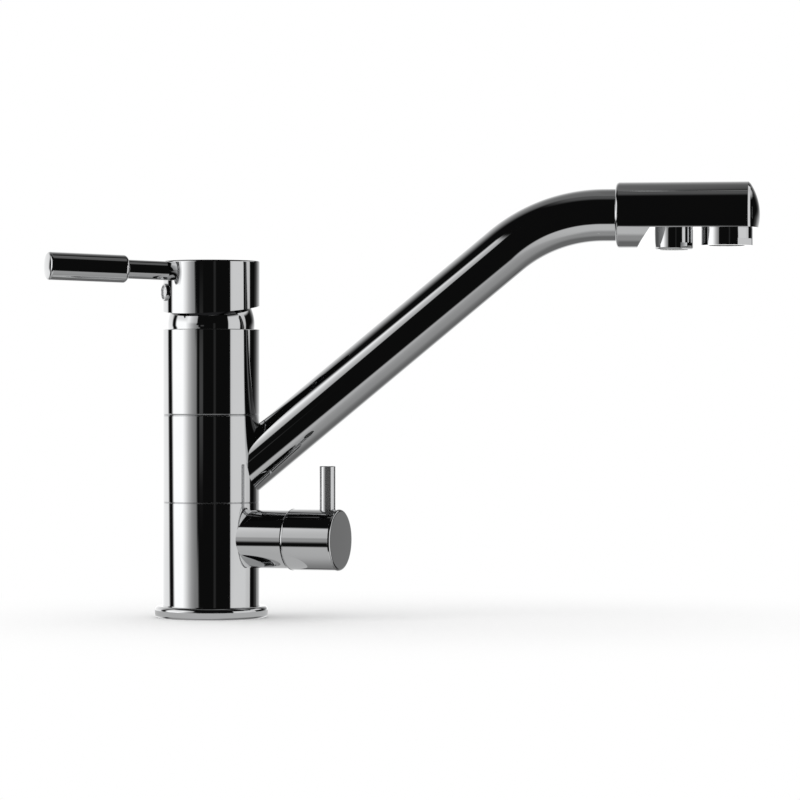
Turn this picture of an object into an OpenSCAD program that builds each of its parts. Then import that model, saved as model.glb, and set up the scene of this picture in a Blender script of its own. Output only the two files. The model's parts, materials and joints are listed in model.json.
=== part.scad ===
// Three-way kitchen tap: a single-lever mixer with a swivel spout, and a second small valve on its side
// that sends filtered drinking water through its own line to its own outlet in the spout head.
// Origin: tap axis at the worktop. +Z up, +X along the filter valve branch.

/* [Body] */
// Diameter of the lower body, spout collar, upper sleeve and handle cap
body_d = 45; // [43:0.5:50]
// Diameter of the flange on the worktop
flange_d = 52.3; // [50:0.1:60]
// Height of the flange
flange_h = 5.5; // [5:0.1:8]
// Rounding of the flange's upper and lower edge
flange_round = 2; // [0.5:0.25:2.25]
// Height of the lower body above the flange
lower_h = 47.5; // [46:0.5:60]
// Height of the turning spout collar
collar_h = 39.4; // [38:0.2:50]
// Height of the fixed sleeve above the collar
sleeve_h = 39.3; // [38:0.1:50]
// Height of each slip ring beside the collar
slip_h = 0.8; // [0.5:0.1:1.5]
// How far a slip ring stays behind the body's surface
slip_recess = 0.3; // [0.1:0.1:0.6]
// Diameter of the neck that the collar turns on
neck_d = 39; // [38.5:0.1:39.5]
// Diameter of the spigot inside the flange
spigot_d = 36; // [34:0.5:38]

/* [Connections below] */
// Core diameter of the fixing stud's thread
stud_d = 6.8; // [5:0.1:8.5]
// Depth of the stud hole
stud_depth = 12; // [8:0.5:12]
// Core diameter of the hose threads
inlet_d = 9; // [8:0.1:10]
// Depth of the hose threads
inlet_depth = 14; // [13:0.5:18]
// Radius of the circle that the hose threads sit on
inlet_circle = 10; // [9.7:0.1:11]
// Width of the seal groove under the flange
seal_w = 3; // [2:0.1:3.4]
// Depth of the seal groove
seal_h = 2.5; // [1.5:0.1:2.5]

/* [Waterways] */
// Diameter of the hot and cold channels
supply_d = 5.8; // [4:0.1:6]
// Diameter of the filtered water's channel to its valve
filtered_d = 7; // [5:0.1:7]
// Diameter of the riser from the filter valve to the collar
riser_d = 4; // [3:0.1:4.4]
// Distance of the riser from the tap axis
riser_at = 14; // [13.6:0.1:14.2]
// Diameter of the mixed water's channel down to the collar
mixed_d = 6; // [4:0.1:6]
// Height of the filtered water's ring chamber
filtered_chamber_h = 7.5; // [6:0.1:8]
// Depth of both ring chambers in the neck
chamber_depth = 3; // [2:0.1:3.4]
// Height of an O-ring groove in the neck
groove_h = 2.6; // [2.2:0.1:2.8]
// Depth of an O-ring groove in the neck
groove_depth = 1.8; // [1.6:0.05:2]
// Land between a chamber and the next groove
land_h = 1.2; // [0.8:0.1:1.4]

/* [Spout] */
// Rest direction of the spout, from the filter valve
spout_turn = 14; // [-180:1:180]
// Height of the spout's axis on the collar wall, above the collar's foot
spout_root_h = 20.6; // [18.6:0.1:20.8]
// Angle that the spout rises at
spout_rise = 39.6; // [36:0.1:42]
// Height of the spout's level run above the worktop
spout_h = 185.2; // [165:0.2:230]
// Outside diameter of the spout tube
tube_d = 24; // [22:0.5:26]
// Wall of the spout tube
tube_wall = 1.2; // [0.8:0.1:2]
// Radius of the bend on the tube's centreline
bend_r = 70; // [45:1:90]
// Level tube that shows between the bend and the head
level_run = 6.2; // [2:0.1:30]
// Outside diameter of the filtered water's line in the spout
line_d = 5; // [4:0.1:5.4]
// Wall of the filtered water's line
line_wall = 0.7; // [0.4:0.1:1]

/* [Spout head] */
// Diameter of the head
head_d = 30; // [29.5:0.5:34]
// Length of the head without its end cap
head_l = 61.2; // [58:0.1:75]
// Rounding of the head's edge on the tube side
head_round = 1.4; // [0.5:0.1:2]
// Chamfer of the head's front edge
head_edge = 1; // [0.4:0.1:1.5]
// Side wall of the head
head_wall = 2.5; // [1.8:0.1:3]
// Distance of the flat underside below the head's axis
flat_drop = 6.1; // [5.5:0.1:8]
// Thickness of the floor behind the flat underside
floor_t = 3.6; // [3:0.1:3.7]
// Length of the full-round chin past the tube's socket
chin_wall = 0.6; // [0.4:0.1:3]
// Length of the slope behind the chin
chin_slope = 6.4; // [3:0.1:7]
// Gap between the chin's slope and the filter nozzle
chin_gap = 1.6; // [1:0.1:3]
// Height of the end cap's dome
dome_h = 4.1; // [1.5:0.1:5]
// Length of the end cap's plug in the head
plug_l = 2.5; // [2:0.1:2.6]
// Distance between the filter nozzle and the aerator
outlet_pitch = 24; // [22:0.1:25]
// Diameter of the filter nozzle
nozzle_d = 17.4; // [16:0.1:18]
// Length of the filter nozzle below the flat
nozzle_l = 9.8; // [8:0.1:14]
// Distance of the aerator's axis from the head's front end
aerator_inset = 11; // [10.9:0.1:12.5]
// Diameter of the aerator housing
aerator_d = 23.6; // [23:0.1:24.4]
// Length of the aerator housing below the flat
aerator_l = 8; // [7:0.1:12]
// Height of the spanner flats on both outlets
spanner_h = 3; // [1:0.1:4]
// Depth of the spanner flats
spanner_cut = 1; // [0.3:0.1:1.1]
// Turn of the spanner flats from the head's sides
spanner_turn = 51; // [0:1:180]

/* [Handle] */
// Rest direction of the lever, from the filter valve; the mixing cartridge faces the same way
lever_turn = 224; // [205:1:240]
// Height of the cap's top above the lever's pivot
cap_top = 30; // [29:0.1:34]
// Height of the cap's lowest edge above the lever's pivot
cap_skirt = 5.4; // [5:0.1:8]
// Slant of the cap's lower edge
cap_slant = 7.4; // [0:0.1:8]
// Turn of the slant's low side from the lever
cap_slant_turn = 42; // [0:1:60]
// Rounding of the cap's upper edge
cap_round = 0.8; // [0.3:0.1:1.5]
// Radius of the dome that the cap rocks on
dome_r = 20.2; // [20:0.05:20.4]
// Wall of the dome
dome_wall = 1.5; // [1:0.1:1.6]
// Height of the pivot above the sleeve
pivot_h = 1.7; // [1:0.1:3]
// Diameter of the lever rod
rod_d = 8.8; // [7:0.1:9]
// Distance of the rod's axis below the cap's top
rod_drop = 4.7; // [4.6:0.1:5.4]
// Upward tilt of the lever
rod_rise = 1.5; // [0:0.1:3]
// Length of the rod that shows between the cap and the grip
rod_free = 19; // [10:0.1:30]
// Diameter of the thread on the rod's tail
tail_d = 6; // [4:0.1:6]
// Diameter of the lever grip
grip_d = 12.9; // [12:0.1:16]
// Length of the lever grip
grip_l = 38.5; // [34:0.1:60]
// Chamfer at both ends of the grip
grip_chamfer = 1.2; // [0.4:0.1:2]
// Diameter of the index plug under the lever
index_d = 8; // [6:0.1:8.4]
// Height of the index plug's axis above the pivot
index_h = 15.4; // [15.3:0.1:15.8]

/* [Cartridge] */
// Diameter of the cartridge
cartridge_d = 35; // [34.6:0.1:35.2]
// Radius of the circle that the cartridge ports sit on
port_circle = 7.2; // [6.9:0.1:7.4]
// Diameter of a cartridge port
port_d = 5.6; // [4:0.1:5.8]
// Angle of the hot and cold ports from the lever's direction
port_angle = 65; // [60:1:70]
// Distance of the stem's ball below the pivot
ball_arm = 12; // [11.6:0.1:12.2]
// Diameter of the stem's ball
ball_d = 6.6; // [6:0.1:6.8]
// Side of the square lever stem
stem_w = 6.8; // [6:0.1:7]
// Diameter of the pivot pin
pivot_d = 4; // [3:0.1:4]
// Largest lift of the lever
lift_max = 25; // [20:1:25]

/* [Filter valve] */
// Height of the valve's axis above the flange
valve_up = 31.1; // [30:0.1:32]
// Diameter of the branch
branch_d = 26.9; // [26:0.1:29]
// Length of the branch beyond the body
branch_l = 17.2; // [15:0.1:25]
// Distance of the valve seat from the tap axis
seat_at = 12; // [11.6:0.1:12.2]
// Diameter of the valve chamber
chamber_d = 20; // [19.4:0.1:21]
// Gap between the branch and the knob
knob_gap = 0.35; // [0.2:0.05:1]
// Diameter of the filter knob
knob_d = 28; // [27:0.1:32]
// Length of the filter knob
knob_l = 24.5; // [24:0.1:35]
// Diameter of the knob's pin
pin_d = 7.4; // [5:0.1:8]
// Length of the pin above the knob
pin_free = 19.9; // [12:0.1:30]
// Distance of the pin's axis from the knob's end
pin_inset = 6.5; // [6:0.1:7]
// Diameter of the spindle
spindle_d = 8; // [7:0.1:8.4]

/* [Fits] */
// Radial clearance of a turning fit
run_fit = 0.05; // [0.02:0.01:0.1]
// Radial clearance of a fixed fit
seat_fit = 0.03; // [0.01:0.01:0.05]
// Gap between faces that turn or slide on each other
face_gap = 0.02; // [0.01:0.01:0.05]
// Gap between the dome and the handle cap
cap_gap = 0.4; // [0.3:0.05:0.6]

/* [Hidden] */
$fn = 96;

// Finishes
chrome = [0.80, 0.81, 0.83];
brass = [0.78, 0.63, 0.34];
steel = [0.62, 0.63, 0.65];
black_rubber = [0.10, 0.10, 0.11];
ceramic = [0.93, 0.92, 0.89];
white_plastic = [0.88, 0.88, 0.86];
grey_plastic = [0.45, 0.46, 0.48];
slip_plastic = [0.20, 0.20, 0.21];

// Overrun of a cut past the face that it opens
over = 1;

// Radii of the body
body_r = body_d / 2;
neck_r = neck_d / 2;
spigot_r = spigot_d / 2;
flange_r = flange_d / 2;
collar_bore_r = neck_r + run_fit;
sleeve_bore_r = neck_r + seat_fit;

// Levels of the body, from the worktop up
z_slip = flange_h + lower_h;
z_collar = z_slip + slip_h;
z_collar_top = z_collar + collar_h;
z_sleeve = z_collar_top + slip_h;
z_sleeve_top = z_sleeve + sleeve_h;
z_pivot = z_sleeve_top + pivot_h;
z_valve = flange_h + valve_up;

// Spout path in the spout's own plane
tube_r = tube_d / 2;
tube_bore_r = tube_r - tube_wall;
line_r = line_d / 2;
z_root = z_collar + spout_root_h;
bend_tangent = bend_r * tan(spout_rise / 2);
x_vertex = body_r + (spout_h - z_root) / tan(spout_rise);
x_bend_end = x_vertex + bend_tangent;
slope_l = (x_vertex - body_r) / cos(spout_rise) - bend_tangent;
bend_thin = 0.05;
bend_lap = 0.6;

// Ring chambers and O-ring grooves on the neck
z_filtered = z_root - (body_r - neck_r) * tan(spout_rise);
groove_pitch = filtered_chamber_h / 2 + land_h + groove_h / 2;
z_ring_low = z_filtered - groove_pitch;
z_ring_mid = z_filtered + groove_pitch;
z_ring_high = z_collar_top - land_h - groove_h / 2;
z_mixed_low = z_ring_mid + groove_h / 2 + land_h;
z_mixed_high = z_ring_high - groove_h / 2 - land_h;
z_mixed = (z_mixed_low + z_mixed_high) / 2;
ring_levels = [z_ring_low, z_ring_mid, z_ring_high];
ring_wire_r = (groove_depth - face_gap) / 2;

// Spout head
head_r = head_d / 2;
x_head = x_bend_end + level_run;
x_head_end = x_head + head_l;
aerator_at = head_l - aerator_inset;
nozzle_at = aerator_at - outlet_pitch;
chin_l = nozzle_at - nozzle_d / 2 - chin_gap - chin_slope;
socket_l = chin_l - chin_wall;
x_nozzle = x_head + nozzle_at;
x_aerator = x_head + aerator_at;
z_flat = spout_h - flat_drop;
z_floor_top = z_flat + floor_t;
way_l = 1.5;
head_chamber_r = head_r - head_wall;
dome_edge_r = head_r - head_edge;
end_sphere_r = (dome_edge_r * dome_edge_r + dome_h * dome_h) / (2 * dome_h);
outlet_ledge = 0.8;
outlet_spigot_l = 1.5;
aerator_r = aerator_d / 2;
aerator_spigot_r = aerator_r - 1.5;
nozzle_r = nozzle_d / 2;
nozzle_spigot_r = nozzle_r - 2.7;
z_ledge = z_floor_top - outlet_ledge;
z_spigot = z_flat + outlet_spigot_l;

// Mixing cartridge, from its floor in the body up
cart_r = cartridge_d / 2;
cart_bore_r = cart_r + seat_fit;
housing_wall = 2.3;
inner_r = cart_r - housing_wall;
rotor_flange_r = inner_r - run_fit;
rotor_step = 2.3;
rotor_r = inner_r - rotor_step;
rotor_bore_r = rotor_r + run_fit;
housing_top_wall = 2.1;
housing_top_r = rotor_r + housing_top_wall;
pivot_up = 38;
base_h = 5;
fixed_disc_h = 4;
moving_disc_h = 4.5;
carrier_h = 2.6;
rotor_flange_h = 4.9;
z_floor = z_pivot - pivot_up;
z_fixed_disc = z_floor + base_h;
z_moving_disc = z_fixed_disc + fixed_disc_h;
z_carrier = z_moving_disc + moving_disc_h;
z_rotor = z_carrier + carrier_h;
z_shoulder = z_rotor + rotor_flange_h;
rotor_drop = 4;
neck_drop = 6;
nut_drop = 2.5;
z_rotor_top = z_pivot - rotor_drop;
z_neck_top = z_pivot - neck_drop;
z_nut_top = z_pivot - nut_drop;
z_ball = z_pivot - ball_arm;
post_up = 1.6;
z_post_top = z_ball + post_up;
travel = ball_arm * sin(lift_max);
disc_play = 0.6;
moving_disc_r = inner_r - travel / 2 - disc_play;
ball_r = ball_d / 2;
ball_play = 0.15;
post_l = 10.4;
post_w = 11;
seal_r = port_d / 2 + 1.4;
ear_up = 4.5;
ear_l = 10;
ear_w = 16;
stem_play = 0.2;
pivot_r = pivot_d / 2;
supply_turns = [lever_turn - port_angle, lever_turn + port_angle];
mixed_turn = lever_turn + 180;
filtered_turn = 44;

// Handle, measured from the pivot
cap_r = body_r;
cap_bore_r = dome_r + cap_gap;
dome_cut = 11.3;
boss_r = 6;
boss_low = 11;
boss_high = 22;
stem_top = 25.5;
screw_r = 2;
rib_r = screw_r + 1.5;
index_r = index_d / 2;
index_depth = 3;
rod_r = rod_d / 2;
tail_r = tail_d / 2;
tail_l = 9;
rod_in_grip = grip_l - 10;
grip_r = grip_d / 2;

// Filter valve, measured along X
branch_r = branch_d / 2;
x_branch = body_r + branch_l;
chamber_r = chamber_d / 2;
pocket_r = chamber_r - 4;
disc_r = chamber_r - 1.5;
disc_port_at = disc_r * 0.56;
disc_port_r = disc_r * 0.28;
x_seat_disc = seat_at + 2.2;
x_rotor_disc = x_seat_disc + 3;
x_driver = x_rotor_disc + 3;
driver_l = 3.4;
driver_w = 4;
x_driver_end = x_driver + driver_l;
thread_l = 12.7;
hex_l = 6;
hex_r = chamber_r + 0.9;
spindle_r = spindle_d / 2;
square_w = spindle_r * 1.4;
square_l = 7.2;
x_web = x_branch + hex_l + 0.6;
x_knob = x_branch + knob_gap;
x_knob_end = x_knob + knob_l;
knob_r = knob_d / 2;
knob_bore_r = hex_r + 0.6;
knob_chamfer = 0.5;
pin_r = pin_d / 2;
pin_seat = 6;
x_pin = x_knob_end - pin_inset;
x_knob_screw = x_web + square_l / 2;
valve_ring_wire_r = 0.75;

// Upright tube between two levels
module tube(outer_r, bore_r, low, high) {
    translate([0, 0, low])
        difference() {
            cylinder(r = outer_r, h = high - low);
            translate([0, 0, -over])
                cylinder(r = bore_r, h = high - low + 2 * over);
        }
}

// Upright rod between two levels
module rod(rod_radius, low, high) {
    translate([0, 0, low])
        cylinder(r = rod_radius, h = high - low);
}

// Rubber ring of round section at a level
module o_ring(centre_r, wire_r, level) {
    translate([0, 0, level])
        rotate_extrude()
            translate([centre_r, 0])
                circle(r = wire_r, $fn = 24);
}

// Disc whose rim is rounded at both edges
module round_rim_disc(disc_radius, h, edge) {
    rotate_extrude()
        union() {
            square([disc_radius - edge, h]);
            translate([0, edge])
                square([disc_radius, h - 2 * edge]);
            for (level = [edge, h - edge])
                translate([disc_radius - edge, level])
                    circle(r = edge, $fn = 32);
        }
}

// Disc whose upper edge is rounded
module round_top_disc(disc_radius, h, edge) {
    rotate_extrude()
        union() {
            square([disc_radius - edge, h]);
            square([disc_radius, h - edge]);
            translate([disc_radius - edge, h - edge])
                circle(r = edge, $fn = 32);
        }
}

// Place upright children at a radius and an angle around the tap axis
module around(turn, at) {
    rotate(turn)
        translate([at, 0, 0])
            children();
}

// Lay upright children along X on the filter valve's axis
module on_valve() {
    translate([0, 0, z_valve])
        rotate([0, 90, 0])
            children();
}

// Turn children to the lever's direction, measured from the pivot
module on_pivot() {
    translate([0, 0, z_pivot])
        rotate(lever_turn)
            children();
}

// Lay upright children along the lever, starting at the cap's wall
module on_lever() {
    on_pivot()
        translate([cap_r, 0, cap_top - rod_drop])
            rotate([0, 90 - rod_rise, 0])
                children();
}

// Lay upright children outwards through the cap's wall at the index plug
module on_index() {
    on_pivot()
        translate([cap_r, 0, index_h])
            rotate([0, 90, 0])
                children();
}

// Lay upright children along the spout head's axis, starting at its tube side
module on_head() {
    rotate(spout_turn)
        translate([x_head, 0, spout_h])
            rotate([0, 90, 0])
                children();
}

// Lay upright children along the rising part of the spout, starting at the collar's wall
module on_slope() {
    rotate(spout_turn)
        translate([body_r, 0, z_root])
            rotate([0, 90 - spout_rise, 0])
                children();
}

// Pipe that follows the spout's centreline, placed from the centre of its bend.
// Bending draws the wall a little thinner from the end of the slope on.
module spout_pipe(pipe_r, pipe_bore_r, inside, x_end) {
    drawn_r = pipe_r - bend_thin;
    drawn_bore_r = pipe_bore_r + bend_thin;
    rotate(spout_turn)
        translate([x_bend_end, 0, spout_h - bend_r]) {
            translate([0, 0, bend_r])
                rotate([0, 90, 0])
                    tube(drawn_r, drawn_bore_r, 0, x_end - x_bend_end);
            rotate([90, 0, 0])
                rotate(90)
                    rotate_extrude(angle = spout_rise)
                        translate([bend_r, 0])
                            difference() {
                                circle(r = drawn_r);
                                circle(r = drawn_bore_r);
                            }
            rotate([0, -spout_rise, 0])
                translate([0, 0, bend_r])
                    rotate([0, -90, 0])
                        tube(pipe_r, pipe_bore_r, -bend_lap, slope_l + inside);
        }
}

// Flange that the tap stands on, with its seal groove underneath
module base_flange() {
    color(chrome)
        difference() {
            round_rim_disc(flange_r, flange_h, flange_round);
            rod(spigot_r + seat_fit, -over, flange_h + over);
            tube(body_r + 1, body_r + 1 - seal_w, -over, seal_h);
        }
}

module base_seal() {
    color(black_rubber)
        tube(body_r + 1 - seat_fit, body_r + 1 - seal_w + seat_fit, 0, seal_h - face_gap);
}

// One casting: lower body, neck, filter branch and all waterways
module body_casting() {
    color(brass)
        difference() {
            union() {
                rod(spigot_r, 0, flange_h + over);
                rod(body_r, flange_h, z_slip);
                rod(neck_r, z_slip - over, z_neck_top);
                on_valve()
                    rod(branch_r, 0, x_branch);
            }
            casting_threads();
            casting_channels();
            casting_grooves();
            rod(cart_bore_r, z_floor, z_neck_top + over);
        }
}

// Stud hole and the three hose threads in the casting's underside
module casting_threads() {
    rod(stud_d / 2, -over, stud_depth);
    for (turn = concat(supply_turns, [filtered_turn]))
        around(turn, inlet_circle)
            rod(inlet_d / 2, -over, inlet_depth);
}

// Ways of hot, cold, mixed and filtered water through the casting
module casting_channels() {
    for (turn = supply_turns)
        around(turn, port_circle)
            rod(supply_d / 2, inlet_depth - 0.5, z_floor + over);
    around(mixed_turn, port_circle)
        rod(mixed_d / 2, z_mixed - mixed_d / 2, z_floor + over);
    around(mixed_turn, port_circle)
        translate([0, 0, z_mixed])
            rotate([0, 90, 0])
                cylinder(r = mixed_d / 2, h = neck_r - port_circle - chamber_depth / 2);
    around(filtered_turn, inlet_circle)
        rod(filtered_d / 2, inlet_depth - over, z_valve + filtered_d / 2);
    on_valve()
        rod(pocket_r, inlet_circle * cos(filtered_turn), seat_at + over);
    on_valve()
        rod(chamber_r, seat_at, x_branch + over);
    translate([riser_at, 0, 0])
        rod(riser_d / 2, z_valve, z_filtered + riser_d / 2);
    translate([riser_at, 0, z_filtered])
        rotate([0, 90, 0])
            cylinder(r = riser_d / 2, h = neck_r - riser_at - chamber_depth / 2);
}

// Ring chambers and O-ring grooves around the neck
module casting_grooves() {
    for (level = ring_levels)
        tube(neck_r + over, neck_r - groove_depth, level - groove_h / 2, level + groove_h / 2);
    tube(neck_r + over, neck_r - chamber_depth, z_filtered - filtered_chamber_h / 2,
        z_filtered + filtered_chamber_h / 2);
    tube(neck_r + over, neck_r - chamber_depth, z_mixed_low, z_mixed_high);
}

module upper_sleeve() {
    color(chrome)
        tube(body_r, sleeve_bore_r, z_sleeve, z_sleeve_top);
}

module lower_slip_ring() {
    color(slip_plastic)
        tube(body_r - slip_recess, sleeve_bore_r, z_slip, z_collar - face_gap);
}

module upper_slip_ring() {
    color(slip_plastic)
        tube(body_r - slip_recess, sleeve_bore_r, z_collar_top + face_gap, z_sleeve);
}

module swivel_o_rings() {
    color(black_rubber)
        for (level = ring_levels)
            o_ring(neck_r - groove_depth + face_gap + ring_wire_r, ring_wire_r, level);
}

// Cartridge shell: wide below for the discs, narrow above for the rotor
module cartridge_housing() {
    color(white_plastic)
        difference() {
            union() {
                rod(cart_r, z_floor + face_gap, z_shoulder);
                rod(housing_top_r, z_shoulder - over, z_rotor_top);
            }
            rod(inner_r, z_floor - over, z_shoulder - 0.02 * over);
            rod(rotor_bore_r, z_shoulder - over, z_rotor_top + over);
        }
}

// Upright children at each of the three cartridge ports
module at_ports() {
    for (turn = concat(supply_turns, [mixed_turn]))
        around(turn, port_circle)
            children();
}

module cartridge_base() {
    color(grey_plastic)
        difference() {
            rod(inner_r - seat_fit, z_floor + face_gap, z_fixed_disc - face_gap);
            at_ports()
                rod(seal_r + seat_fit, z_floor - over, z_fixed_disc + over);
        }
}

module cartridge_seals() {
    color(black_rubber)
        at_ports()
            tube(seal_r, port_d / 2, z_floor + face_gap, z_fixed_disc - face_gap);
}

module fixed_disc() {
    color(ceramic)
        difference() {
            rod(inner_r - seat_fit, z_fixed_disc, z_moving_disc);
            at_ports()
                rod(port_d / 2, z_fixed_disc - over, z_moving_disc + over);
        }
}

// Ring nut that holds the cartridge down, with four spanner notches
module cartridge_nut() {
    notch_w = 4;
    notch_h = 2.5;
    color(brass)
        difference() {
            tube(cart_r, housing_top_r + seat_fit, z_shoulder + face_gap, z_nut_top);
            for (turn = [0, 90])
                rotate(turn)
                    translate([-cart_r - over, -notch_w / 2, z_nut_top - notch_h])
                        cube([2 * cart_r + 2 * over, notch_w, notch_h + over]);
        }
}

// Domed cover on the nut's thread, which the handle cap rocks over
module dome_cover() {
    color(chrome)
        difference() {
            union() {
                intersection() {
                    translate([0, 0, z_pivot])
                        sphere(r = dome_r);
                    rod(dome_r + over, z_sleeve_top + face_gap, z_pivot + dome_cut);
                }
                rod(neck_r, z_neck_top + face_gap, z_sleeve_top + over);
            }
            intersection() {
                translate([0, 0, z_pivot])
                    sphere(r = dome_r - dome_wall);
                rod(dome_r, z_sleeve_top, z_pivot + dome_r);
            }
            rod(cart_r + seat_fit, z_neck_top - over, z_pivot);
        }
}

// Headwork body in the branch: disc pocket with side windows, thread, hexagon and spindle bore
module valve_bonnet() {
    window_d = 4;
    color(brass)
        on_valve()
            difference() {
                union() {
                    rod(chamber_r - 0.8, x_seat_disc, x_branch - thread_l + over);
                    rod(chamber_r - seat_fit, x_branch - thread_l, x_branch + over);
                    translate([0, 0, x_branch + face_gap])
                        cylinder(r = hex_r, h = hex_l, $fn = 6);
                }
                rod(disc_r + seat_fit, x_seat_disc - over, x_driver_end + 2 * face_gap);
                rod(spindle_r + run_fit, x_driver_end - over, x_branch + hex_l + over);
                tube(chamber_r + over, chamber_r - 2 * valve_ring_wire_r - 2 * face_gap,
                    x_branch - 5, x_branch - 3);
                for (turn = [0 : 90 : 270])
                    around(turn + 45, 0)
                        translate([0, 0, x_driver + window_d / 2])
                            rotate([0, 90, 0])
                                cylinder(d = window_d, h = chamber_r);
            }
}

module bonnet_o_ring() {
    color(black_rubber)
        on_valve()
            o_ring(chamber_r - face_gap - valve_ring_wire_r, valve_ring_wire_r, x_branch - 4);
}

module valve_seat_seal() {
    color(black_rubber)
        on_valve()
            tube(disc_r - 0.1, pocket_r, seat_at + face_gap, x_seat_disc - face_gap);
}

// Ceramic disc with two round ports opposite each other
module two_port_disc(disc_radius, low, high) {
    difference() {
        rod(disc_radius, low, high);
        for (side = [-1, 1])
            translate([0, side * disc_port_at, 0])
                rod(disc_port_r, low - over, high + over);
    }
}

module valve_seat_disc() {
    color(ceramic)
        on_valve()
            two_port_disc(disc_r, x_seat_disc, x_rotor_disc - face_gap);
}

// Turning disc, a quarter turn from open, with a slot for the spindle's key
module valve_rotor_disc() {
    key_h = 1.2;
    color(ceramic)
        on_valve()
            difference() {
                rotate(90)
                    two_port_disc(disc_r - run_fit, x_rotor_disc, x_driver);
                translate([-driver_w / 2 - seat_fit, -disc_r, x_driver - key_h])
                    cube([driver_w + 2 * seat_fit, 2 * disc_r, key_h + over]);
            }
}

// T-shaped spindle: key, driver bar, sealed shaft and square end
module valve_spindle() {
    key_h = 1.2;
    bar_l = 2 * disc_r - 1;
    color(brass)
        on_valve()
            difference() {
                union() {
                    translate([-driver_w / 2, -bar_l / 2, x_driver - key_h + face_gap])
                        cube([driver_w, bar_l, key_h + driver_l]);
                    rod(spindle_r, x_driver_end - over, x_web);
                    translate([-square_w / 2, -square_w / 2, x_web - over])
                        cube([square_w, square_w, square_l - 0.2 + over]);
                }
                tube(spindle_r + over, spindle_r - 1, x_branch - 8, x_branch - 6);
            }
}

module spindle_o_ring() {
    wire_r = 0.5;
    color(black_rubber)
        on_valve()
            o_ring(spindle_r - wire_r, wire_r - face_gap, x_branch - 7);
}

// Knob over the headwork's hexagon, driven through a square
module filter_knob() {
    color(chrome)
        difference() {
            on_valve()
                difference() {
                    union() {
                        translate([0, 0, x_knob])
                            cylinder(r1 = knob_r - knob_chamfer, r2 = knob_r, h = knob_chamfer);
                        rod(knob_r, x_knob + knob_chamfer, x_knob_end - knob_chamfer);
                        translate([0, 0, x_knob_end - knob_chamfer])
                            cylinder(r1 = knob_r, r2 = knob_r - knob_chamfer, h = knob_chamfer);
                    }
                    rod(knob_bore_r, x_knob - over, x_web);
                    translate([-square_w / 2 - seat_fit, -square_w / 2 - seat_fit, x_web - over])
                        cube([square_w + 2 * seat_fit, square_w + 2 * seat_fit, square_l + over]);
                }
            translate([x_pin, 0, z_valve])
                rod(pin_r + seat_fit, pin_seat, knob_r + over);
            translate([x_knob_screw, 0, z_valve])
                rod(screw_r + seat_fit, -knob_r - over, 0);
        }
}

module filter_pin() {
    pin_chamfer = 0.5;
    pin_top = knob_r + pin_free;
    color(chrome)
        translate([x_pin, 0, z_valve]) {
            rod(pin_r, pin_seat + face_gap, pin_top - pin_chamfer);
            translate([0, 0, pin_top - pin_chamfer])
                cylinder(r1 = pin_r, r2 = pin_r - pin_chamfer, h = pin_chamfer);
        }
}

// Headless screw with a hexagon socket, from its tip at the origin upwards
module set_screw(screw_l) {
    socket_depth = 2.5;
    difference() {
        cylinder(r = screw_r, h = screw_l);
        translate([0, 0, screw_l - socket_depth])
            cylinder(r = screw_r * 0.55, h = socket_depth + over, $fn = 6);
    }
}

module knob_set_screw() {
    screw_l = 6;
    color(steel)
        translate([x_knob_screw, 0, z_valve - square_w / 2 - face_gap])
            rotate([180, 0, 0])
                set_screw(screw_l);
}

// Turning part of the cartridge: guide channel for the carrier, swing slot and ears for the stem
module cartridge_rotor() {
    swing_l = (z_pivot - z_post_top) * tan(lift_max) + stem_w / 2 / cos(lift_max) + 0.6;
    swing_back = ear_up * tan(lift_max) + stem_w / 2 / cos(lift_max) + 0.5;
    slot_w = stem_w + 2 * stem_play;
    channel_back = post_l / 2 + 0.5;
    color(white_plastic)
        difference() {
            union() {
                rod(rotor_flange_r, z_rotor, z_shoulder - 3 * face_gap);
                rod(rotor_r, z_shoulder - over, z_rotor_top);
                on_pivot()
                    translate([-ear_l / 2, -ear_w / 2, z_rotor_top - z_pivot - over])
                        cube([ear_l, ear_w, ear_up - z_rotor_top + z_pivot + over]);
            }
            on_pivot()
                translate([-channel_back, -post_w / 2 - run_fit, z_rotor - z_pivot - over])
                    cube([2 * channel_back + travel, post_w + 2 * run_fit,
                        z_post_top - z_rotor + over + stem_play]);
            on_pivot()
                translate([-swing_back, -slot_w / 2, z_post_top - z_pivot])
                    cube([swing_back + swing_l, slot_w, z_pivot - z_post_top + ear_up + over]);
            on_pivot()
                rotate([90, 0, 0])
                    rod(pivot_r + seat_fit, -ear_w, ear_w);
        }
}

module pivot_pin() {
    color(steel)
        on_pivot()
            rotate([90, 0, 0])
                rod(pivot_r, -ear_w / 2, ear_w / 2);
}

// Sliding ceramic disc with the mixing recess in its underside
module moving_disc() {
    recess_r = 6.3;
    recess_h = 2;
    recess_back = 2;
    color(ceramic)
        rotate(lever_turn)
            translate([-travel / 2, 0, 0])
                difference() {
                    rod(moving_disc_r, z_moving_disc + face_gap, z_carrier);
                    translate([-recess_back, 0, 0])
                        rod(recess_r, z_moving_disc - over, z_moving_disc + recess_h);
                }
}

// Carrier on the moving disc, with a post that the stem's ball moves
module disc_carrier() {
    plate_h = 2.5;
    color(grey_plastic)
        rotate(lever_turn)
            difference() {
                union() {
                    translate([-travel / 2, 0, 0])
                        rod(moving_disc_r, z_carrier, z_carrier + plate_h);
                    translate([-post_l / 2, -post_w / 2, z_carrier + plate_h - over])
                        cube([post_l, post_w, z_post_top - z_carrier - plate_h + over]);
                }
                rod(ball_r + ball_play, z_ball - ball_r - ball_play, z_post_top + over);
            }
}

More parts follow.
